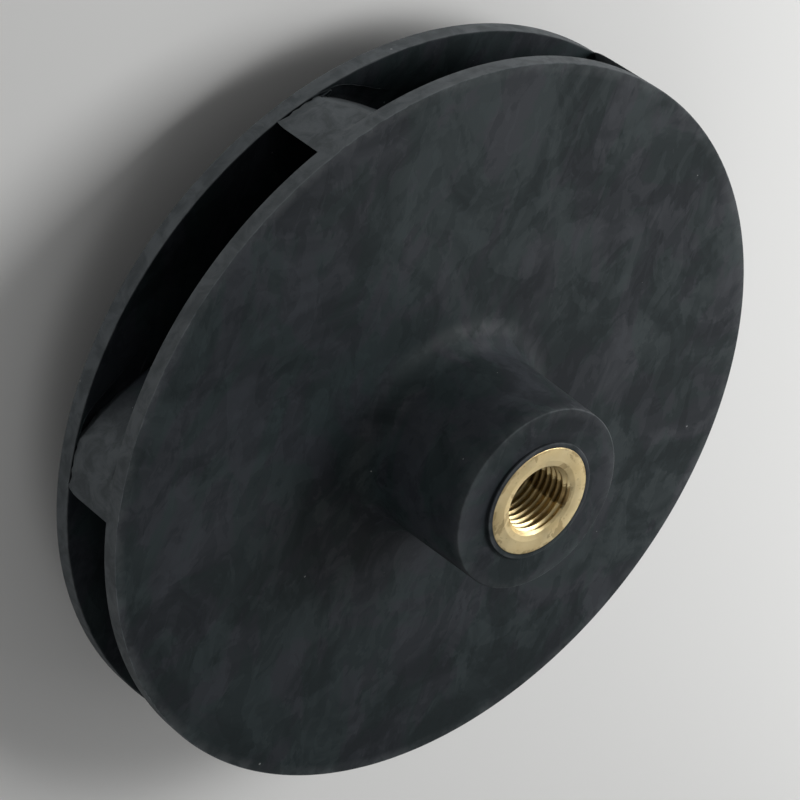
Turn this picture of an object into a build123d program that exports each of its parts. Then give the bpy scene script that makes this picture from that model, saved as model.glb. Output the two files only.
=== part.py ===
# Closed pump impeller, moulded in glass-filled plastic round a brass insert.
# It rests on its eye ring: the pump axis is +Z, the suction eye is below and the hub is on top.
# Water enters the eye from below and leaves between the two shrouds, at the rim.
from build123d import *
from math import acos, atan2, cos, degrees, hypot, radians, sin, tan
import os

os.makedirs("parts", exist_ok=True)

# Shrouds, in millimetres
impeller_diameter = 130.0
front_rim_setback = 0.4
back_shroud_rim = 2.8
front_shroud_wall = 3.0
outlet_width = 10.9
back_taper_angle = 1.8
front_cone_angle = 4.0
rim_edge_chamfer = 0.2

# Suction eye
eye_bore_diameter = 51.0
eye_ring_wall = 3.5
eye_ring_drop = 12.0
eye_lip_chamfer = 0.6
throat_run = 4.5
eye_root_chamfer = 2.2

# Vanes
vane_count = 6
vane_exit_angle = 38.0
vane_inlet_angle = 28.0
vane_inlet_setback = 1.5
vane_thickness = 4.2
vane_draft_angle = 9.0
vane_inlet_share = 0.7
vane_wedge_length = 2.4
vane_overrun = 4.0

# Hub, collar round the insert, and nose in the eye
hub_diameter = 32.3
hub_draft_angle = 1.4
hub_height = 22.9
hub_edge_chamfer = 0.4
hub_blend_radius = 4.8
collar_wall = 0.8
collar_height = 0.6
nose_diameter = 32.0
nose_slope_run = 7.0
nose_height = 8.0

# Brass insert, threaded 1/2-20: the solid's bore runs along the thread's crests
insert_diameter = 19.2
insert_length = 24.0
insert_head_length = 5.0
insert_hexagon_flats = 16.0
insert_groove_width = 4.0
insert_groove_depth = 1.0
thread_crest_diameter = 11.4
thread_depth = 18.0
bore_chamfer = 1.0
drill_point_angle = 118.0

# Levels above the floor that the impeller rests on
front_face_level = eye_ring_drop
front_inner_level = front_face_level + front_shroud_wall
back_inner_level = front_inner_level + outlet_width
back_face_level = back_inner_level + back_shroud_rim
hub_face_level = back_face_level + hub_height
insert_face_level = hub_face_level + collar_height
insert_foot_level = insert_face_level - insert_length

# Radii from the pump axis
impeller_radius = impeller_diameter / 2
front_radius = impeller_radius - front_rim_setback
eye_bore_radius = eye_bore_diameter / 2
eye_ring_radius = eye_bore_radius + eye_ring_wall
vane_inlet_radius = eye_bore_radius + vane_inlet_setback
hub_radius = hub_diameter / 2
hub_root_radius = hub_radius + hub_height * tan(radians(hub_draft_angle))
nose_radius = nose_diameter / 2
insert_radius = insert_diameter / 2
collar_radius = insert_radius + collar_wall
bore_radius = thread_crest_diameter / 2


def front_drop(radius):
    """How far the front shroud has dropped below its rim, on its shallow cone."""
    return (front_radius - radius) * tan(radians(front_cone_angle))


# Inner face of the front shroud in section: up the eye, over its sloping throat and out to the rim
throat_corner_level = front_inner_level - front_drop(eye_bore_radius)
throat_end_radius = eye_bore_radius + throat_run
channel_floor = [
    (eye_bore_radius, 0),
    (eye_bore_radius, throat_corner_level - throat_run),
    (throat_end_radius, front_inner_level - front_drop(throat_end_radius)),
    (front_radius, front_inner_level),
]


# Insert blank: hexagon bar, turned round at its head and grooved so that it can't pull out
hexagon_length = insert_length - insert_head_length
groove_level = insert_foot_level + (hexagon_length - insert_groove_width) / 2
groove_radius = insert_hexagon_flats / 2 - insert_groove_depth

with BuildPart() as insert_blank:
    with BuildSketch(Plane.XY.offset(insert_foot_level)):
        RegularPolygon(insert_hexagon_flats / 2, 6, major_radius=False)
    extrude(amount=hexagon_length)
    with BuildSketch(Plane.XY.offset(groove_level)):
        Circle(insert_radius)
        Circle(groove_radius, mode=Mode.SUBTRACT)
    extrude(amount=insert_groove_width, mode=Mode.SUBTRACT)
    with BuildSketch(Plane.XY.offset(insert_face_level)):
        Circle(insert_radius)
    extrude(amount=-insert_head_length)

# Threaded insert: the blank drilled blind from its face, with a countersunk mouth
thread_end_level = insert_face_level - thread_depth
drill_tip_level = thread_end_level - bore_radius / tan(radians(drill_point_angle / 2))

with BuildPart() as threaded_insert:
    add(insert_blank.part)
    with BuildSketch(Plane.XZ):
        with BuildLine():
            Polyline(
                (0, insert_face_level),
                (bore_radius + bore_chamfer, insert_face_level),
                (bore_radius, insert_face_level - bore_chamfer),
                (bore_radius, thread_end_level),
                (0, drill_tip_level),
                close=True,
            )
        make_face()
    revolve(axis=Axis.Z, mode=Mode.SUBTRACT)

# Each vane face is a circular arc. Its radius and centre follow from the two vane angles.
exit_run = impeller_radius * cos(radians(vane_exit_angle))
inlet_run = vane_inlet_radius * cos(radians(vane_inlet_angle))
vane_arc_radius = (impeller_radius**2 - vane_inlet_radius**2) / (2 * (exit_run - inlet_run))
vane_centre = Vector(
    impeller_radius - vane_arc_radius * cos(radians(vane_exit_angle)),
    vane_arc_radius * sin(radians(vane_exit_angle)),
)
centre_distance = hypot(vane_centre.X, vane_centre.Y)
centre_angle = degrees(atan2(vane_centre.Y, vane_centre.X))


def arc_angle(radius):
    """Direction, seen from the arc's centre, of its point at this radius from the pump axis."""
    reach = radius**2 - centre_distance**2 - vane_arc_radius**2
    return centre_angle - degrees(acos(reach / (2 * centre_distance * vane_arc_radius)))


def vane_point(offset, angle):
    """Point outside the trailing arc by the offset, in a direction from the arc's centre."""
    distance = vane_arc_radius + offset
    return vane_centre + Vector(distance * cos(radians(angle)), distance * sin(radians(angle)))


# One vane: its face towards the rotation leans, so it is thin at the front and thick at its root.
# Its inlet edge is a wedge. At the rim it overruns, to be trimmed flush with the back shroud.
tip_angle = arc_angle(impeller_radius) + degrees(vane_overrun / vane_arc_radius)
wedge_angle = arc_angle(vane_inlet_radius)
inlet_angle = wedge_angle + degrees(vane_wedge_length / vane_arc_radius)
middle_angle = (tip_angle + inlet_angle) / 2
vane_foot_level = front_inner_level - front_drop(vane_inlet_radius) - throat_run
vane_root_level = (back_inner_level + back_face_level) / 2

with BuildPart() as vane:
    for level in (vane_foot_level, vane_root_level):
        tip_width = vane_thickness + (level - front_inner_level) * tan(radians(vane_draft_angle))
        inlet_width = tip_width * vane_inlet_share
        with BuildSketch(Plane.XY.offset(level)):
            with BuildLine():
                trailing = ThreePointArc(
                    vane_point(0, tip_angle),
                    vane_point(0, middle_angle),
                    vane_point(0, inlet_angle),
                )
                leading = ThreePointArc(
                    vane_point(inlet_width, inlet_angle),
                    vane_point((inlet_width + tip_width) / 2, middle_angle),
                    vane_point(tip_width, tip_angle),
                )
                Polyline(
                    trailing @ 1,
                    vane_point(inlet_width / 2, wedge_angle),
                    leading @ 0,
                )
                Line(leading @ 1, trailing @ 0)
            make_face()
    loft(ruled=True)

# Back shroud: disc, hub, nose and all the vanes in one moulding round the insert
nose_level = back_inner_level - (impeller_radius - nose_radius) * tan(radians(back_taper_angle))
nose_tip_level = nose_level - nose_height

with BuildPart() as back_shroud:
    with PolarLocations(0, vane_count):
        add(vane.part)
    with BuildSketch(Plane.XZ):
        with BuildLine():
            Polyline(
                *channel_floor,
                (impeller_radius, front_inner_level),
                (impeller_radius, back_face_level),
                (0, back_face_level),
                (0, 0),
                close=True,
            )
        make_face()
    revolve(axis=Axis.Z, mode=Mode.INTERSECT)
    with BuildSketch(Plane.XZ) as body_section:
        with BuildLine():
            outline = FilletPolyline(
                (0, insert_face_level),
                (collar_radius, insert_face_level),
                (collar_radius, hub_face_level),
                (hub_radius, hub_face_level),
                (hub_root_radius, back_face_level),
                (impeller_radius, back_face_level),
                (impeller_radius, back_inner_level),
                (nose_radius, nose_level),
                (nose_radius - nose_slope_run, nose_tip_level),
                (0, nose_tip_level),
                radius=[0, 0, 0, hub_blend_radius, 0, 0, 0, 0],
            )
            Line(outline @ 1, outline @ 0)
        make_face()
        corners = body_section.vertices()
        chamfer(corners.group_by(Axis.X)[-1], rim_edge_chamfer)
        chamfer(corners.sort_by_distance((hub_radius, hub_face_level))[0], hub_edge_chamfer)
    revolve(axis=Axis.Z)
    add(insert_blank.part, mode=Mode.SUBTRACT)

# Front shroud: shallow cone and eye ring in one moulding, welded to the vanes' front edges
ring_corner_level = front_face_level - front_drop(eye_ring_radius)

with BuildPart() as front_shroud:
    with BuildSketch(Plane.XZ) as front_section:
        with BuildLine():
            Polyline(
                *channel_floor,
                (front_radius, front_face_level),
                (eye_ring_radius, ring_corner_level),
                (eye_ring_radius, 0),
                close=True,
            )
        make_face()
        corners = front_section.vertices()
        root = corners.sort_by_distance((eye_ring_radius, ring_corner_level))[0]
        chamfer(root, eye_root_chamfer)
        chamfer(corners.group_by(Axis.Y)[0], eye_lip_chamfer)
        chamfer(corners.group_by(Axis.X)[-1], rim_edge_chamfer)
    revolve(axis=Axis.Z)

back_shroud.part.label = "back_shroud"
front_shroud.part.label = "front_shroud"
threaded_insert.part.label = "threaded_insert"

export_step(back_shroud.part, "parts/back_shroud.step")
export_step(front_shroud.part, "parts/front_shroud.step")
export_step(threaded_insert.part, "parts/threaded_insert.step")
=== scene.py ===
import math

import bmesh
import bpy
import numpy as np
from mathutils import Matrix, Vector


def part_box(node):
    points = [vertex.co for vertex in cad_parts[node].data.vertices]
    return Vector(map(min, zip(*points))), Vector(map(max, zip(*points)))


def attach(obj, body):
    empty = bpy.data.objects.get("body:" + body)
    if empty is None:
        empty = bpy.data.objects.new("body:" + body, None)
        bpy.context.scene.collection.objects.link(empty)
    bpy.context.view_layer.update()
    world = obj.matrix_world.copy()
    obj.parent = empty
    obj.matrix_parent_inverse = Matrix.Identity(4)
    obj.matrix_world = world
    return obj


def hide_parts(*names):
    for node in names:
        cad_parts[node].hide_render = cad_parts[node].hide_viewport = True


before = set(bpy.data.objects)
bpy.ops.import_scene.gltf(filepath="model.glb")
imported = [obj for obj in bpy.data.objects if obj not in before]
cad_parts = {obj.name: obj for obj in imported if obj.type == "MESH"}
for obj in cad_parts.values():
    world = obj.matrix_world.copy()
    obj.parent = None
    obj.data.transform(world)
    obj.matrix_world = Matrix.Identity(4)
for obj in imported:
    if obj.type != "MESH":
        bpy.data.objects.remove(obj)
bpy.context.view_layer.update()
MM = 0.001


# Threaded insert.
# A turned brass bush, drilled and cut with a right-hand 1/2-20 thread, that the hub is moulded round.
# Only its face shows, flush with the collar, and the turns of the thread down its bore.
insert_low, insert_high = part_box("threaded_insert")
insert_face = insert_high.z
insert_foot = insert_low.z
insert_radius = insert_high.x
insert_edge_radius = 0.15 * MM
crest_radius = 5.7 * MM
root_radius = 6.3 * MM
thread_pitch = 1.27 * MM
thread_depth = 18 * MM
thread_end = insert_face - thread_depth
drill_point_angle = math.radians(118)
mouth_chamfer = 0.6 * MM
mouth_radius = crest_radius + mouth_chamfer
mouth_ring_radius = 7.3 * MM
mouth_ring_depth = 0.12 * MM
mouth_ring_bend = 0.3 * MM
mouth_level = insert_face - mouth_ring_depth
insert_step = 1.5 * MM
columns_round_bore = 160


def circle(columns):
    """Angles of this many even steps round one full turn."""
    return np.linspace(0, 2 * np.pi, columns, endpoint=False)


def grid_faces(rows, columns, closed):
    """Quads between neighbouring rows and columns of a grid.
    A closed grid joins its last column to its first."""
    starts = np.arange(columns if closed else columns - 1)
    row, column = np.meshgrid(np.arange(rows - 1), starts, indexing="ij")
    after = (column + 1) % columns
    corners = [(row, column), (row, after), (row + 1, after), (row + 1, column)]
    return np.stack([r * columns + c for r, c in corners], -1).reshape(-1, 4)


def spun(line, angle):
    """Grid of points of a section line carried round +Z by the angles: x is the radius times the cosine
    of the angle, y is the radius times its sine, and z is the level."""
    radius, level = line[:, :1], line[:, 1:]
    return np.stack([radius * np.cos(angle), radius * np.sin(angle), level + 0 * angle], -1)


def in_scene(name, data):
    """New object with this data, in the scene."""
    made = bpy.data.objects.new(name, data)
    bpy.context.scene.collection.objects.link(made)
    return made


def shade_smooth(mesh, smooth_below):
    """Smooth shading, with sharp edges where neighbouring faces turn by this many degrees or more."""
    mesh.polygons.foreach_set("use_smooth", np.ones(len(mesh.polygons), bool))
    mesh.set_sharp_from_angle(angle=math.radians(smooth_below))


def new_piece(name, points, faces, smooth_below=35.0):
    """Object of these points and faces: doubles merged, flat faces dropped, normals made to point
    outwards."""
    mesh = bpy.data.meshes.new(name)
    mesh.from_pydata(points.tolist(), [], faces.tolist())
    shape = bmesh.new()
    shape.from_mesh(mesh)
    bmesh.ops.remove_doubles(shape, verts=shape.verts, dist=1e-7)
    bmesh.ops.dissolve_degenerate(shape, edges=shape.edges, dist=1e-8)
    bmesh.ops.recalc_face_normals(shape, faces=shape.faces)
    shape.to_mesh(mesh)
    shape.free()
    shade_smooth(mesh, smooth_below)
    return in_scene(name, mesh)


def rounded(corners, radii, steps=6):
    """Section line through the corners, each turned by an arc of its radius that touches both of its
    sides. The arc's centre is on the corner's bisector, at the radius divided by the sine of half the
    corner's angle."""
    corners = np.asarray(corners, float)
    line = [corners[0]]
    for before, corner, after, radius in zip(corners[:-2], corners[1:-1], corners[2:], radii):
        to_before, to_after = before - corner, after - corner
        to_before /= np.linalg.norm(to_before)
        to_after /= np.linalg.norm(to_after)
        half = math.acos(np.clip(to_before @ to_after, -1, 1)) / 2
        straight = abs(half - math.pi / 2) < 1e-3
        if radius == 0 or straight:
            line.append(corner)
            continue
        middle = to_before + to_after
        centre = corner + middle / np.linalg.norm(middle) * radius / math.sin(half)
        start = corner + to_before * radius / math.tan(half) - centre
        end = corner + to_after * radius / math.tan(half) - centre
        sweep = np.linspace(0, math.pi - 2 * half, steps + 1)[:, None]
        across = end - (end @ start) * start / radius**2
        across *= radius / np.linalg.norm(across)
        line.extend(centre + start * np.cos(sweep) + across * np.sin(sweep))
    line.append(corners[-1])
    return np.array(line)


def divided(line, longest):
    """The same section line with its long straight runs cut into equal steps no longer than this."""
    pieces = [line[:1]]
    for start, end in zip(line[:-1], line[1:]):
        count = max(1, math.ceil(np.linalg.norm(end - start) / longest))
        pieces.append(start + (end - start) * np.linspace(0, 1, count + 1)[1:, None])
    return np.concatenate(pieces)


def thread_rows():
    """Phase and radius of the rows in one turn: crest flat, flank, root flat and the flank back."""
    phase = np.array([0.0, 0.08, 0.17, 0.25, 0.28, 0.42, 0.53, 0.57, 0.62, 0.68, 0.72, 0.83, 0.97])
    corner_phases = [0.0, 0.25, 0.57, 0.68, 1.0]
    corner_radii = [crest_radius, crest_radius, root_radius, root_radius, crest_radius]
    return phase, np.interp(phase, corner_phases, corner_radii)


def bore_surface():
    """Thread as a helix: every row's phase is carried round the axis while it climbs by one pitch for
    each turn. At its end below, the groove runs out in one turn. Above, it opens into the mouth's cone of
    45 degrees."""
    phase, radius = thread_rows()
    turns = math.ceil(thread_depth / thread_pitch) + 2
    level = ((np.arange(turns)[:, None] - 1 + phase) * thread_pitch).ravel()
    radius = np.tile(radius, turns)
    angle = np.linspace(0, 2 * np.pi, columns_round_bore + 1)
    z = thread_end + level[:, None] + thread_pitch * angle / (2 * np.pi)
    run_out = np.clip((z - thread_end) / thread_pitch, 0, 1)
    r = crest_radius + (radius[:, None] - crest_radius) * run_out
    z = np.clip(z, thread_end, mouth_level)
    r = np.maximum(r, mouth_radius - (mouth_level - z))
    r = np.where(z >= mouth_level, mouth_radius, r)
    points = np.stack([r * np.cos(angle), r * np.sin(angle), z], -1)
    return points.reshape(-1, 3), grid_faces(*z.shape, closed=False)


def insert_mesh():
    """Bore, face, hidden outside and drilled end of the insert, joined along their shared circles."""
    bore_points, bore_faces = bore_surface()
    outside = rounded(
        [(mouth_radius, mouth_level), (mouth_ring_radius, insert_face), (insert_radius, insert_face),
         (insert_radius, insert_foot), (0, insert_foot)],
        [mouth_ring_bend, insert_edge_radius, insert_edge_radius])
    drill_tip = thread_end - crest_radius / math.tan(drill_point_angle / 2)
    drilled = np.array([(0, drill_tip), (crest_radius, thread_end)])
    points, faces = [bore_points], [bore_faces]
    for line in (divided(outside, insert_step), divided(drilled, insert_step)):
        faces.append(grid_faces(len(line), columns_round_bore, closed=True) + sum(map(len, points)))
        points.append(spun(line, circle(columns_round_bore)).reshape(-1, 3))
    return np.concatenate(points), np.concatenate(faces)


threaded_insert = new_piece("brass_insert", *insert_mesh(), smooth_below=24)

brass_tan = (0.80, 0.635, 0.335, 1)
brass_yellow = (0.88, 0.73, 0.425, 1)
olive_film = (0.36, 0.31, 0.155, 1)
painted_bore_shade_brown = (0.13, 0.082, 0.028, 1)
brown_stain = (0.36, 0.245, 0.105, 1)
film_full_depth = 9 * MM
film_start_depth = 0.3 * MM
stained_rim_width = 0.45 * MM
rim_raggedness = 0.35 * MM
painted_bore_shade_bearing = math.radians(-9)
painted_bore_shade_width = 0.2 * MM
rings_to_metre = 9000.0
bore_rings_to_metre = 200.0


class Finish:
    """A material in the making: its nodes, wired by name."""

    def __init__(self, name):
        self.material = bpy.data.materials.new(name)
        self.material.use_nodes = True
        self.tree = self.material.node_tree
        self.shader = self.tree.nodes["Principled BSDF"]
        self.place = self.node("ShaderNodeTexCoord").outputs["Object"]

    def node(self, kind, inputs=(), **settings):
        """New node; its inputs are given by name or number, as a value or another node's output."""
        made = self.tree.nodes.new(kind)
        for key, value in settings.items():
            setattr(made, key, value)
        for key, value in dict(inputs).items():
            self.feed(made.inputs[key], value)
        return made

    def feed(self, socket, value):
        """Links another node's output to the socket, or writes a plain value there."""
        if isinstance(value, bpy.types.NodeSocket):
            self.tree.links.new(value, socket)
        else:
            socket.default_value = value

    def set(self, **sockets):
        """Sets the shader's own sockets; underscores in a name stand for spaces."""
        for key, value in sockets.items():
            self.feed(self.shader.inputs[key.replace("_", " ")], value)

    def noise(self, scale, detail=4.0, roughness=0.55, distortion=0.0, at=None):
        """Noise of this many cells to the metre, from 0 to 1."""
        return self.node("ShaderNodeTexNoise", {
            "Vector": at or self.place, "Scale": scale, "Detail": detail, "Roughness": roughness,
            "Distortion": distortion}).outputs["Fac"]

    def moved(self, shift=(0, 0, 0), turn=(0, 0, 0), stretch=(1, 1, 1), at=None):
        """Coordinates scaled, turned and shifted, so that a pattern on them runs its own way."""
        return self.node("ShaderNodeMapping", {
            "Vector": at or self.place, "Location": shift, "Rotation": turn, "Scale": stretch}).outputs[0]

    def between(self, value, low, high, to_low=0.0, to_high=1.0, smooth=True):
        """Value from low to high spread over another range, and held outside it."""
        return self.node("ShaderNodeMapRange", {
            "Value": value, "From Min": low, "From Max": high, "To Min": to_low, "To Max": to_high},
            interpolation_type="SMOOTHSTEP" if smooth else "LINEAR").outputs[0]

    def maths(self, operation, *values):
        """Blender's own maths of this name on the values."""
        return self.node("ShaderNodeMath", enumerate(values), operation=operation).outputs[0]

    def vector_maths(self, operation, *vectors):
        """The number that Blender's own maths of this name makes of the vectors."""
        return self.node("ShaderNodeVectorMath", enumerate(vectors), operation=operation).outputs["Value"]

    def from_axis(self):
        """Distance from the pump axis, which is the length of x and y together, and level."""
        x, y, level = self.node("ShaderNodeSeparateXYZ", {0: self.place}).outputs
        return self.vector_maths("LENGTH", self.node("ShaderNodeCombineXYZ", {0: x, 1: y}).outputs[0]), level

    def towards(self, bearing):
        """Distance from the pump axis that is reached in this direction."""
        return self.vector_maths("DOT_PRODUCT", self.place, (math.cos(bearing), math.sin(bearing), 0))

    def mixed(self, share, first, second):
        """Colour between the first and the second by the share."""
        made = self.node("ShaderNodeMix", {0: share, 6: first, 7: second}, data_type="RGBA")
        return made.outputs[2]

    def bumped(self, height, strength, distance, normal=None):
        """Normal bent by the slopes of the height, on top of another normal if one is given."""
        inputs = {"Height": height, "Strength": strength, "Distance": distance}
        if normal:
            inputs["Normal"] = normal
        return self.node("ShaderNodeBump", inputs).outputs[0]


def brass_finish():
    """Turned brass: pale, with tool rings and brown stains on its face, an olive film that is thickest
    deep in the bore, and painted shade, a brown band down one side of the bore."""
    brass = Finish("turned_brass")
    radius, level = brass.from_axis()
    stains = brass.between(brass.noise(230, 5, 0.6, 0.4), 0.575, 0.61)
    specks = brass.between(brass.noise(1500, 3, 0.6), 0.62, 0.7)
    ragged = brass.between(brass.noise(700, 4), 0.3, 0.7, -rim_raggedness, rim_raggedness)
    ragged = brass.maths("ADD", radius, ragged)
    rim = brass.between(ragged, insert_radius - stained_rim_width, insert_radius)
    shade = brass.maths("MAXIMUM", brass.maths("MULTIPLY", stains, 0.5), brass.maths("MULTIPLY", specks, 0.3))
    shade = brass.maths("MAXIMUM", shade, brass.maths("MULTIPLY", rim, 0.55))
    tint = brass.between(brass.noise(190, 3), 0.35, 0.7)
    clean = brass.mixed(tint, brass_tan, brass_yellow)
    film_end, film_start = insert_face - film_full_depth, insert_face - film_start_depth
    deep = brass.between(level, film_end, film_start, 0.62, 0.0, smooth=False)
    clean = brass.mixed(deep, clean, olive_film)
    # Painted shade: a brown band down the bore at one bearing.
    cosine = brass.maths("DIVIDE", brass.towards(painted_bore_shade_bearing), radius)
    cosine = brass.maths("ADD", cosine, brass.between(brass.noise(900, 4, 0.6), 0.3, 0.7, -0.02, 0.02))
    beside_bore = brass.between(radius, root_radius, root_radius + painted_bore_shade_width, 0.9, 0.0)
    painted_bore_shade = brass.maths("MULTIPLY", brass.between(cosine, 0.935, 0.965), beside_bore)
    clean = brass.mixed(painted_bore_shade, clean, painted_bore_shade_brown)
    ring_place = brass.node("ShaderNodeCombineXYZ", {
        0: brass.maths("MULTIPLY", radius, rings_to_metre),
        2: brass.maths("MULTIPLY", level, bore_rings_to_metre)}).outputs[0]
    rings = brass.noise(1.0, 2, 0.6, at=ring_place)
    brass.set(
        Base_Color=brass.mixed(shade, clean, brown_stain),
        Metallic=1.0,
        Roughness=brass.between(brass.noise(300, 4), 0.3, 0.7, 0.38, 0.5),
        Normal=brass.bumped(rings, 0.3, 0.02 * MM),
    )
    return brass.material


threaded_insert.data.materials.append(brass_finish())
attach(threaded_insert, "root")
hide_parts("threaded_insert")


# Back shroud.
# One moulding in charcoal glass-filled plastic: disc, hub with a raised collar round the insert, nose in
# the eye and six vanes on the disc's inner side, with no seam. Their tips are flush with the rim.
impeller_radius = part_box("back_shroud")[1].x
collar_height = 0.6 * MM
hub_height = 22.9 * MM
back_wall = 2.8 * MM
outlet_width = 10.9 * MM
hub_face = insert_face - collar_height
back_face = hub_face - hub_height
back_inner = back_face - back_wall
front_inner = back_inner - outlet_width
back_taper = math.tan(math.radians(1.8))
hub_radius = 16.15 * MM
hub_root_radius = hub_radius + hub_height * math.tan(math.radians(1.4))
hub_blend_radius = 4.8 * MM
hub_edge_radius = 0.25 * MM
collar_radius = insert_radius + 0.8 * MM
collar_edge_radius = 0.14 * MM
collar_root_radius = 0.1 * MM
rim_edge_radius = 0.16 * MM
inner_edge_radius = 0.15 * MM
nose_radius = 16 * MM
nose_tip_radius = 9 * MM
nose_level = back_inner - (impeller_radius - nose_radius) * back_taper
nose_tip = nose_level - 8 * MM
nose_root_bend = 3.5 * MM
nose_tip_bend = 4 * MM
disc_step = 2 * MM
columns_round_disc = 480


def disc_mesh():
    """Section of disc, hub, collar and nose, from the axis outwards and back, carried round the axis."""
    line = rounded(
        [(0, insert_foot), (insert_radius, insert_foot), (insert_radius, insert_face),
         (collar_radius, insert_face), (collar_radius, hub_face), (hub_radius, hub_face),
         (hub_root_radius, back_face), (impeller_radius, back_face), (impeller_radius, back_inner),
         (nose_radius, nose_level), (nose_tip_radius, nose_tip), (0, nose_tip)],
        [0, 0, collar_edge_radius, collar_root_radius, hub_edge_radius, hub_blend_radius, rim_edge_radius,
         inner_edge_radius, nose_root_bend, nose_tip_bend], steps=7)
    line = divided(line, disc_step)
    faces = grid_faces(len(line), columns_round_disc, closed=True)
    return spun(line, circle(columns_round_disc)).reshape(-1, 3), faces


# Each vane's front edge follows the inner face of the front shroud.
front_radius = impeller_radius - 0.4 * MM
front_cone = math.tan(math.radians(4.0))
eye_bore_radius = 25.5 * MM
throat_end_radius = 30 * MM
throat_drop = 4.5 * MM


def cone_level(radius):
    """Level of the shallow cone, which rises evenly to the front shroud's rim."""
    return front_inner - (front_radius - radius) * front_cone


throat_start = cone_level(eye_bore_radius) - throat_drop
throat_end = cone_level(throat_end_radius)


def channel_floor(radius):
    """Level of the front shroud's inner face: the shallow cone, and inside it the throat's straight
    slope."""
    share = (throat_end_radius - radius) / (throat_end_radius - eye_bore_radius)
    slope = throat_end + (throat_start - throat_end) * share
    return np.where(radius < throat_end_radius, slope, cone_level(radius))


# The seats' lip line, point by point: bearing from the vane's sharp corner, radius and the seat's depth.
vane_count = 6
sector = 2 * math.pi / vane_count
seat_bearings = np.radians([-24.0, -20.5, -18.1, -15.7, -13.4, -11.9, -10.7, -8.35, -6.6, 0.0, 0.6])
seat_lips = np.array([56.2, 57.9, 59.0, 60.6, 62.2, 63.2, 63.7, 64.1, 64.25, 64.25, 64.25]) * MM
seat_depths = np.array([0.0, 0.10, 0.30, 0.75, 1.05, 1.15, 1.10, 0.95, 0.80, 0.35, 0.0]) * MM
seat_wall = 0.3 * MM
seat_width = 5 * MM
seat_slope = 1.4 * MM
exit_angle = math.radians(38)
inlet_angle = math.radians(28)
vane_inlet_radius = 27 * MM
vane_thickness = 4.2 * MM
vane_draft = math.tan(math.radians(9))
vane_inlet_share = 0.7
vane_nose_length = 2.4 * MM
vane_root_depth = 1.2 * MM
vane_sink = 0.05 * MM
seam_gap = 0.55 * MM
seam_opening = 6
tip_round_width = 2.4 * MM
tip_round_setback = 1.3 * MM
tip_foot_setback = 0.35 * MM
tip_foot_share = 0.25
vane_steps = (72, 14, 12)
exit_run = impeller_radius * math.cos(exit_angle)
inlet_run = vane_inlet_radius * math.cos(inlet_angle)
arc_radius = (impeller_radius**2 - vane_inlet_radius**2) / (2 * (exit_run - inlet_run))
arc_centre = np.array([
    impeller_radius - arc_radius * math.cos(exit_angle),
    arc_radius * math.sin(exit_angle)])


def seat_depth(x, y):
    """Depth of the shallow seats that are sunk in the front shroud for the vanes. Each is a crescent
    behind its lip line. It runs out by smooth steps, 3 t squared less 2 t cubed, at its lip and inwards,
    and evenly towards the vane's trailing face, which its distance from the arc's centre tells."""
    radius, bearing = np.hypot(x, y), np.arctan2(y, x)
    bearing = (bearing + sector / 2) % sector - sector / 2
    lip = np.interp(bearing, seat_bearings, seat_lips)
    behind = np.clip((lip - radius) / seat_wall, 0, 1)
    under = np.clip((radius - lip + seat_width) / (seat_width / 2), 0, 1)
    from_centre = np.hypot(radius * np.cos(bearing) - arc_centre[0], radius * np.sin(bearing) - arc_centre[1])
    leading = np.clip((from_centre - arc_radius) / seat_slope, 0, 1)
    steps = behind**2 * (3 - 2 * behind) * under**2 * (3 - 2 * under) * leading
    return np.interp(bearing, seat_bearings, seat_depths, left=0, right=0) * steps


def arc_angle(radius, offset):
    """Direction, seen from the arc's centre, of the point at this distance from the pump axis on the arc
    that is wider by the offset: law of cosines."""
    distance = np.hypot(*arc_centre)
    reach = radius**2 - distance**2 - (arc_radius + offset) ** 2
    turn = np.arccos(reach / (2 * distance * (arc_radius + offset)))
    return math.atan2(arc_centre[1], arc_centre[0]) - turn


def vane_points(along, across, up):
    """Points of a vane by their run from the inlet (0) to the tip (1), across from its trailing face (0)
    to its leading face (1), and up from its front edge (0) into the disc (1). The trailing face is
    upright on a circular arc, the leading face leans by the draft, and the inlet end is rounded by a half
    ellipse. The tip ends on the rim's cylinder, set back by parabolas towards its leading corner and its
    front edge. The front edge stands in its seat, with a gap under it that two sines make uneven."""
    level = front_inner + up * (back_inner + vane_root_depth - front_inner)
    tip_width = vane_thickness + (level - front_inner) * vane_draft
    start = arc_angle(vane_inlet_radius, 0)
    to_corner = np.clip(1 - (1 - across) * tip_width / tip_round_width, 0, 1)
    tip_radius = impeller_radius - tip_foot_setback * np.clip(1 - up / tip_foot_share, 0, 1) ** 2
    end = arc_angle(tip_radius, across * tip_width) - tip_round_setback * to_corner**2 / arc_radius
    angle = start + along * (end - start)
    nose = np.clip(along * (end - start) * arc_radius / vane_nose_length, 0, 1)
    fullness = np.sqrt(np.maximum(1 - (1 - nose) ** 2, 0.01))
    width = tip_width * (vane_inlet_share + (1 - vane_inlet_share) * along)
    offset = width * (0.5 + (across - 0.5) * fullness)
    x = arc_centre[0] + (arc_radius + offset) * np.cos(angle)
    y = arc_centre[1] + (arc_radius + offset) * np.sin(angle)
    radius = np.hypot(x, y)
    uneven = 1 + 0.2 * np.sin(along * 83 + across * 4) + 0.25 * np.sin(across * 23 + 1)
    gap = seam_gap * np.clip(across * seam_opening, 0, 1) * uneven
    floor = channel_floor(radius) - vane_sink - seat_depth(x, y) + gap
    roof = back_inner - (impeller_radius - radius) * back_taper + vane_root_depth
    return np.stack([x, y, floor + up * (roof - floor)], -1)


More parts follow.
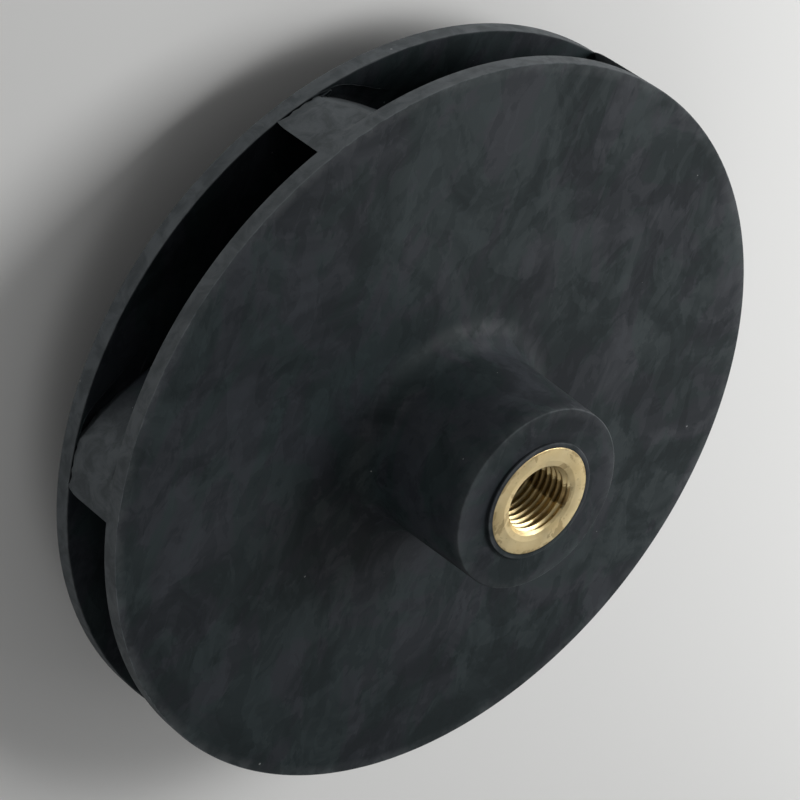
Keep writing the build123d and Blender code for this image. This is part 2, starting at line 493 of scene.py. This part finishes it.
def block_skin(counts):
    """Lattice points on the six sides of a block, each coordinate from 0 to 1, and the quads between
    them."""
    counts = np.asarray(counts)
    sides = []
    for axis in range(3):
        first, second = [k for k in range(3) if k != axis]
        a, b = np.meshgrid(np.arange(counts[first] + 1), np.arange(counts[second] + 1), indexing="ij")
        for end in (0, counts[axis]):
            side = np.empty(a.shape + (3,), int)
            side[..., first], side[..., second], side[..., axis] = a, b, end
            sides.append(side)
    points = np.concatenate([side.reshape(-1, 3) for side in sides])
    starts = np.cumsum([0] + [side[..., 0].size for side in sides])
    quads = [grid_faces(*side.shape[:2], closed=False) + start for side, start in zip(sides, starts)]
    kept, places = np.unique(points, axis=0, return_inverse=True)
    return kept / counts, places.reshape(-1)[np.concatenate(quads)]


def one_for_each_vane(points, faces):
    """Copies of the points and faces, turned about the pump axis by even steps: x cosine less y sine, and
    x sine plus y cosine."""
    copies = []
    for k in range(vane_count):
        c, s = math.cos(2 * math.pi * k / vane_count), math.sin(2 * math.pi * k / vane_count)
        copies.append(points @ np.array([[c, s, 0], [-s, c, 0], [0, 0, 1]]))
    return np.concatenate(copies), np.concatenate([faces + k * len(points) for k in range(vane_count)])


def vanes_mesh():
    """All the vanes: one block skin bent into a vane, and its copies round the axis."""
    lattice, faces = block_skin(vane_steps)
    return one_for_each_vane(vane_points(*lattice.T), faces)


def united(piece, tool):
    """Joins the tool's solid to the piece's and removes the tool."""
    union = piece.modifiers.new("join", "BOOLEAN")
    union.operation = "UNION"
    union.solver = "EXACT"
    union.object = tool
    bpy.context.view_layer.update()
    mesh = bpy.data.meshes.new_from_object(piece.evaluated_get(bpy.context.evaluated_depsgraph_get()))
    piece.modifiers.clear()
    piece.data = mesh
    bpy.data.objects.remove(tool)
    shade_smooth(mesh, 35)


back_shroud = new_piece("back_moulding", *disc_mesh())
united(back_shroud, new_piece("vane_blanks", *vanes_mesh()))

wear_reach = 0.25 * MM
inner_side_level = front_inner - 1 * MM
vane_top_level = back_inner - 0.1 * MM
painted_light_start_radius = impeller_radius - 9 * MM
painted_light_full_radius = impeller_radius - 3 * MM


def radii_and_levels(mesh):
    """Distance from the pump axis and level of every vertex."""
    points = np.empty(len(mesh.vertices) * 3)
    mesh.vertices.foreach_get("co", points)
    points = points.reshape(-1, 3)
    return np.hypot(points[:, 0], points[:, 1]), points[:, 2]


def mark(mesh, name, values):
    """Attribute of this name with a value for every vertex."""
    mesh.attributes.new(name, "FLOAT", "POINT").data.foreach_set("value", values.astype(np.float32))


def mark_wear(piece, circles):
    """Attribute that is 1 on the given edge circles, each a radius and a level. It falls off as e to the
    power of minus the square of the distance over the reach."""
    radius, level = radii_and_levels(piece.data)
    wear = np.zeros(len(radius))
    for edge_radius, edge_level in circles:
        square = (radius - edge_radius) ** 2 + (level - edge_level) ** 2
        wear = np.maximum(wear, np.exp(-square / wear_reach**2))
    mark(piece.data, "wear", wear)


def mark_painted_light_on_vanes(piece):
    """Attribute of painted light: it grows evenly from 0 to 1 between two radii, on the vanes alone,
    between the shrouds, so that their sides are paler towards the rim.
    """
    radius, level = radii_and_levels(piece.data)
    between_shrouds = (level > inner_side_level) & (level < vane_top_level)
    share = np.clip((radius - painted_light_start_radius) / (painted_light_full_radius - painted_light_start_radius), 0, 1)
    mark(piece.data, "turned_and_painted_light", share * between_shrouds)


mark_wear(back_shroud, [
    (impeller_radius, back_face), (impeller_radius, back_inner), (hub_radius, hub_face),
    (collar_radius, insert_face)])
# Painted light on the vanes' sides, towards the rim.
mark_painted_light_on_vanes(back_shroud)

dark_green = (0.0030, 0.0082, 0.0096, 1)
dark_mauve = (0.0048, 0.0078, 0.0108, 1)
pale_green = (0.0185, 0.0285, 0.0310, 1)
pale_mauve = (0.0250, 0.0290, 0.0355, 1)
rim_and_painted_light_dark = (0.045, 0.052, 0.056, 1)
rim_and_painted_light_pale = (0.075, 0.084, 0.090, 1)
worn_edge = (0.088, 0.096, 0.101, 1)
glass_speck = (0.24, 0.25, 0.25, 1)
flow_direction = math.radians(75)
painted_shade_bearing = math.radians(250)
painted_shade_start = 5 * MM
painted_shade_full = 60 * MM
turned_depth = 0.12 * MM
turned_raggedness = 0.1 * MM
specks_to_metre = 230.0


def plastic_finish(name, shift, rim_radius):
    """Charcoal moulded plastic: blotches with crisp borders, some greener and some more mauve, streaks
    along the flow, a matt skin and rare glass specks. One side is darker than the other, as painted shade.
    Worn edges and the rim, which was turned to size, are paler; the vanes' sides are paler towards the rim
    as painted light."""
    skin = Finish(name)
    here = skin.moved(shift=shift)
    level = skin.moved(turn=(0, 0, -flow_direction), at=here)
    flow = skin.moved(stretch=(0.62, 1, 1), at=level)
    long_flow = skin.moved(stretch=(0.22, 1, 1), at=level)
    clouds = skin.noise(48, 5, 0.6, 1.2, at=here)
    patches = skin.between(skin.noise(105, 5, 0.54, 0.6, at=flow), 0.495, 0.52)
    small = skin.between(skin.noise(270, 4, 0.58, 0.7, at=flow), 0.505, 0.54)
    lines = skin.between(skin.noise(480, 4, 0.7, 0.9, at=long_flow), 0.60, 0.68)
    fine = skin.noise(1900, 3, 0.6, at=here)
    tone = skin.between(clouds, 0.38, 0.60, 0.0, 0.48)
    tone = skin.maths("ADD", tone, skin.maths("MULTIPLY", patches, 0.26))
    tone = skin.maths("ADD", tone, skin.maths("MULTIPLY", small, 0.18))
    tone = skin.maths("ADD", tone, skin.between(fine, 0.3, 0.7, 0.0, 0.1))
    tone = skin.maths("SUBTRACT", tone, skin.maths("MULTIPLY", lines, 0.17))
    # Painted shade: the tone falls off towards one side.
    painted_shade = skin.between(skin.towards(painted_shade_bearing), painted_shade_start, painted_shade_full, 0.0, 0.22)
    tone = skin.maths("SUBTRACT", tone, painted_shade)
    tint = skin.between(skin.noise(70, 5, 0.6, 1.2, at=flow), 0.46, 0.54)
    dark = skin.mixed(tint, dark_green, dark_mauve)
    pale = skin.mixed(tint, pale_green, pale_mauve)
    colour = skin.mixed(tone, dark, pale)
    radius = skin.from_axis()[0]
    ragged = skin.between(skin.noise(420, 4, 0.6, at=here), 0.3, 0.7, -turned_raggedness, turned_raggedness)
    ragged = skin.maths("ADD", radius, ragged)
    turned_rim = skin.between(ragged, rim_radius - 2 * turned_depth, rim_radius - turned_depth)
    # The vanes' sides grow paler towards the rim as painted light, joined here with the real turned rim.
    turned_and_painted_light = skin.node("ShaderNodeAttribute", attribute_name="turned_and_painted_light").outputs["Fac"]
    turned_and_painted_light = skin.maths("MAXIMUM", turned_rim, turned_and_painted_light)
    mottle = skin.between(skin.noise(240, 6, 0.66, 0.8, at=here), 0.38, 0.62)
    colour = skin.mixed(turned_and_painted_light, colour, skin.mixed(mottle, rim_and_painted_light_dark, rim_and_painted_light_pale))
    wear = skin.node("ShaderNodeAttribute", attribute_name="wear").outputs["Fac"]
    worn = skin.maths("MULTIPLY", wear, skin.between(skin.noise(260, 4, 0.6, at=here), 0.42, 0.62, 0.3, 1.0))
    colour = skin.mixed(skin.maths("MULTIPLY", worn, 0.65), colour, worn_edge)
    cells = skin.node("ShaderNodeTexVoronoi", {
        "Vector": here, "Scale": specks_to_metre, "Randomness": 1.0}, feature="F1")
    chance = skin.node("ShaderNodeSeparateColor", {0: cells.outputs["Color"]}).outputs[0]
    size = skin.between(chance, 0.8, 1.0, 0.0, 0.05, smooth=False)
    speck = skin.maths("LESS_THAN", cells.outputs["Distance"], size)
    colour = skin.mixed(skin.maths("MULTIPLY", speck, 0.7), colour, glass_speck)
    rough = skin.between(tone, 0.2, 0.8, 0.70, 0.56)
    rough = skin.maths("ADD", rough, skin.between(fine, 0.3, 0.7, -0.03, 0.03))
    rough = skin.maths("ADD", rough, skin.maths("MULTIPLY", turned_and_painted_light, 0.12))
    waves = skin.bumped(skin.noise(90, 3, 0.5, at=here), 0.2, 0.10 * MM)
    streaked = skin.bumped(skin.maths("ADD", small, patches), 0.15, 0.03 * MM, waves)
    skin.set(
        Base_Color=colour,
        Roughness=rough,
        Specular_IOR_Level=0.25,
        Normal=skin.bumped(fine, 0.25, 0.02 * MM, streaked),
    )
    return skin.material


back_shroud.data.materials.clear()
back_shroud.data.materials.append(plastic_finish("charcoal_moulding", (0.0, 0.0, 0.0), impeller_radius))
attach(back_shroud, "root")
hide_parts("back_shroud")


# Front shroud.
# A second moulding in the same plastic: a shallow cone with the eye ring that runs in the pump casing's
# neck. It is set on the vanes' front edges and welded there.
eye_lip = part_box("front_shroud")[0].z
front_wall = 3.0 * MM
front_face = front_inner - front_wall
eye_ring_radius = 29 * MM
ring_corner = front_face - (front_radius - eye_ring_radius) * front_cone
throat_bend = 1.8 * MM
eye_lip_bend = 0.6 * MM
ring_root_bend = 3 * MM
front_edge_bend = 0.3 * MM
front_inner_edge_bend = 0.15 * MM
front_step = 1.8 * MM
seat_start_radius = 55 * MM
seat_step = 0.17 * MM
seat_columns = 72
open_columns = 24
seat_from = math.radians(-25)
seat_to = math.radians(1)


def front_mesh():
    """Closed section of cone and eye ring, carried round the axis. Rows and columns are close together
    round the seats of the vanes, which are sunk below the cone."""
    start = (seat_start_radius, cone_level(seat_start_radius))
    line = rounded(
        [start, (throat_end_radius, throat_end), (eye_bore_radius, throat_start), (eye_bore_radius, eye_lip),
         (eye_ring_radius, eye_lip), (eye_ring_radius, ring_corner), (front_radius, front_face),
         (front_radius, front_inner), start],
        [throat_bend, throat_bend, eye_lip_bend, eye_lip_bend, ring_root_bend, front_edge_bend,
         front_inner_edge_bend])
    line = np.concatenate([divided(line[:-1], front_step), divided(line[-2:], seat_step)[1:]])
    at_seat = np.linspace(seat_from, seat_to, seat_columns, endpoint=False)
    open_part = np.linspace(seat_to, seat_from + sector, open_columns, endpoint=False)
    turns = 2 * np.pi * np.arange(vane_count)[:, None] / vane_count
    points = spun(line, (np.concatenate([at_seat, open_part]) + turns).ravel())
    inside = (line[:, 0] > seat_start_radius) & (line[:, 1] > inner_side_level)
    points[..., 2] -= seat_depth(points[..., 0], points[..., 1]) * inside[:, None]
    return points.reshape(-1, 3), grid_faces(*points.shape[:2], closed=True)


front_shroud = new_piece("front_moulding", *front_mesh())
mark_wear(front_shroud, [
    (front_radius, front_face), (front_radius, front_inner), (eye_ring_radius, eye_lip),
    (eye_bore_radius, eye_lip)])
cover_plastic = plastic_finish("charcoal_cover", (0.31, 0.17, 0.05), front_radius)
front_shroud.data.materials.append(cover_plastic)
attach(front_shroud, "root")
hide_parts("front_shroud")


# Weld flash.
# Plastic squeezed out when the front shroud was welded to the vanes: a thin bead along the lip of each
# vane's seat, and one curl of it that stands by a vane's leading corner.
flash_rows = 120
flash_sides = 8
bead_radius = 0.13 * MM
bead_wave = 0.05 * MM
bead_from = seat_bearings[-3]
bead_to = seat_bearings[1]
curl_bearing = math.radians(111.4)
curl_radius = 63.4 * MM
curl_length = 1.15 * MM
curl_width = 0.5 * MM
curl_height = 0.25 * MM
curl_wave = 0.2 * MM


def tube(path, radius):
    """Round tube of varying radius along a path; each ring is set across the path's direction in plan.
    Where the path ends at its start, the first ring and the last are the same."""
    along = np.gradient(path, axis=0)
    if np.allclose(path[0], path[-1]):
        along[[0, -1]] = path[1] - path[-2]
    across = np.stack([-along[:, 1], along[:, 0], 0 * along[:, 2]], -1)
    across /= np.linalg.norm(across, axis=1)[:, None]
    angle = circle(flash_sides)
    ring = across[:, None] * np.cos(angle)[None, :, None] + np.array([0, 0, 1]) * np.sin(angle)[None, :, None]
    points = path[:, None] + ring * radius[:, None, None]
    return points.reshape(-1, 3), grid_faces(len(path), flash_sides, closed=True)


def flash_mesh():
    """Beads on the lip line, wavy by sines of two lengths and thinner inwards, and the curl as an oval
    loop."""
    run = np.linspace(0, 1, flash_rows)
    bearing = bead_from + run * (bead_to - bead_from)
    radius = np.interp(bearing, seat_bearings, seat_lips) + bead_wave * np.sin(run * 31)
    level = channel_floor(radius) + bead_wave * np.sin(run * 47 + 1)
    thick = bead_radius * (1 - 0.7 * run) * np.sqrt(np.clip(12 * np.minimum(run, 1 - run), 0, 1))
    bead = tube(np.stack([radius * np.cos(bearing), radius * np.sin(bearing), level], -1), thick)
    points, faces = one_for_each_vane(*bead)
    turn = np.linspace(0, 2 * np.pi, flash_rows)
    forward = curl_length * np.cos(turn)
    outward = curl_width * np.sin(turn) * (1 + 0.2 * np.sin(turn * 3))
    along = np.array([-math.sin(curl_bearing), math.cos(curl_bearing), 0])
    out = np.array([math.cos(curl_bearing), math.sin(curl_bearing), 0])
    height = front_inner + curl_height + curl_wave * np.sin(turn + 1)
    path = curl_radius * out + forward[:, None] * along + outward[:, None] * out + height[:, None] * [0, 0, 1]
    curl, curl_faces = tube(path, np.full(flash_rows, bead_radius))
    return np.concatenate([points, curl]), np.concatenate([faces, curl_faces + len(points)])


weld_flash = new_piece("weld_flash", *flash_mesh(), smooth_below=50)
weld_flash.data.materials.append(cover_plastic)
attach(weld_flash, "root")


# Studio.
# A pale floor in a weak, even surround. As the camera sees it, the key lamp stands on the right with a
# small one below it, and a wide, weak one fills from below. Three long lamps, low and level, stand at the
# top and the left and light the rims, the vane tips and the channels.
floor_size = 6.0
floor_colour = (0.72, 0.72, 0.71, 1)
surround_colour = (1, 1, 1, 1)
surround_strength = 0.17
lamp_target = Vector((0, 0, 0.02))

half = floor_size / 2
floor_mesh = bpy.data.meshes.new("studio_floor")
floor_corners = [(-half, -half, 0), (half, -half, 0), (half, half, 0), (-half, half, 0)]
floor_mesh.from_pydata(floor_corners, [], [(0, 1, 2, 3)])
studio_floor = in_scene("studio_floor", floor_mesh)
pale = Finish("pale_floor")
pale.set(Base_Color=floor_colour, Roughness=0.8)
floor_mesh.materials.append(pale.material)


def direction(azimuth, elevation):
    """Unit vector from the impeller at these angles in degrees: the elevation's cosine shared out to x
    and y by the azimuth's cosine and sine, and its sine for z."""
    a, e = math.radians(azimuth), math.radians(elevation)
    return Vector((math.cos(a) * math.cos(e), math.sin(a) * math.cos(e), math.sin(e)))


def soft_lamp(name, azimuth, elevation, distance, width, height, power):
    """Area lamp at this bearing from the impeller, turned to face it."""
    data = bpy.data.lights.new(name, "AREA")
    data.shape = "RECTANGLE"
    data.size = width
    data.size_y = height
    data.energy = power
    lamp = in_scene(name, data)
    towards = direction(azimuth, elevation)
    lamp.location = lamp_target + towards * distance
    lamp.rotation_euler = towards.to_track_quat("Z", "Y").to_euler()


soft_lamp("key_lamp", 30, 48, 0.42, 0.21, 0.21, 1.27)
soft_lamp("near_lamp", -22, 15, 0.30, 0.20, 0.20, 0.21)
soft_lamp("fill_lamp", 230, 50, 0.60, 0.40, 0.40, 0.40)
soft_lamp("rim_lamp_right", 48, -1, 0.45, 0.40, 0.06, 0.92)
soft_lamp("rim_lamp_left", 85, -1, 0.45, 0.40, 0.06, 0.15)
soft_lamp("channel_lamp", 145, -1, 0.45, 0.30, 0.03, 0.34)

world = bpy.data.worlds.new("surround")
bpy.context.scene.world = world
world.use_nodes = True
world.node_tree.nodes["Background"].inputs["Color"].default_value = surround_colour
world.node_tree.nodes["Background"].inputs["Strength"].default_value = surround_strength
bpy.context.scene.view_settings.view_transform = "Standard"


# Camera.
# It looks down on the hub side from the photograph's bearing. The photograph has the impeller on its side,
# so the camera is rolled about its own line of sight to show the hub and the rims where they are there.
camera_azimuth = 139.8
camera_elevation = 39.74
camera_roll = 126.7
camera_distance = 571.9 * MM
camera_lens = 161.9
camera_target = Vector((-11.2 * MM, 9.0 * MM, back_face))

backward = direction(camera_azimuth, camera_elevation)
camera_data = bpy.data.cameras.new("camera")
camera_data.lens = camera_lens
camera_data.sensor_width = 36
camera_data.clip_start = 0.01
camera = in_scene("camera", camera_data)
camera.matrix_world = (Matrix.Translation(camera_target + backward * camera_distance)
                       @ backward.to_track_quat("Z", "Y").to_matrix().to_4x4()
                       @ Matrix.Rotation(math.radians(camera_roll), 4, "Z"))
bpy.context.scene.camera = camera
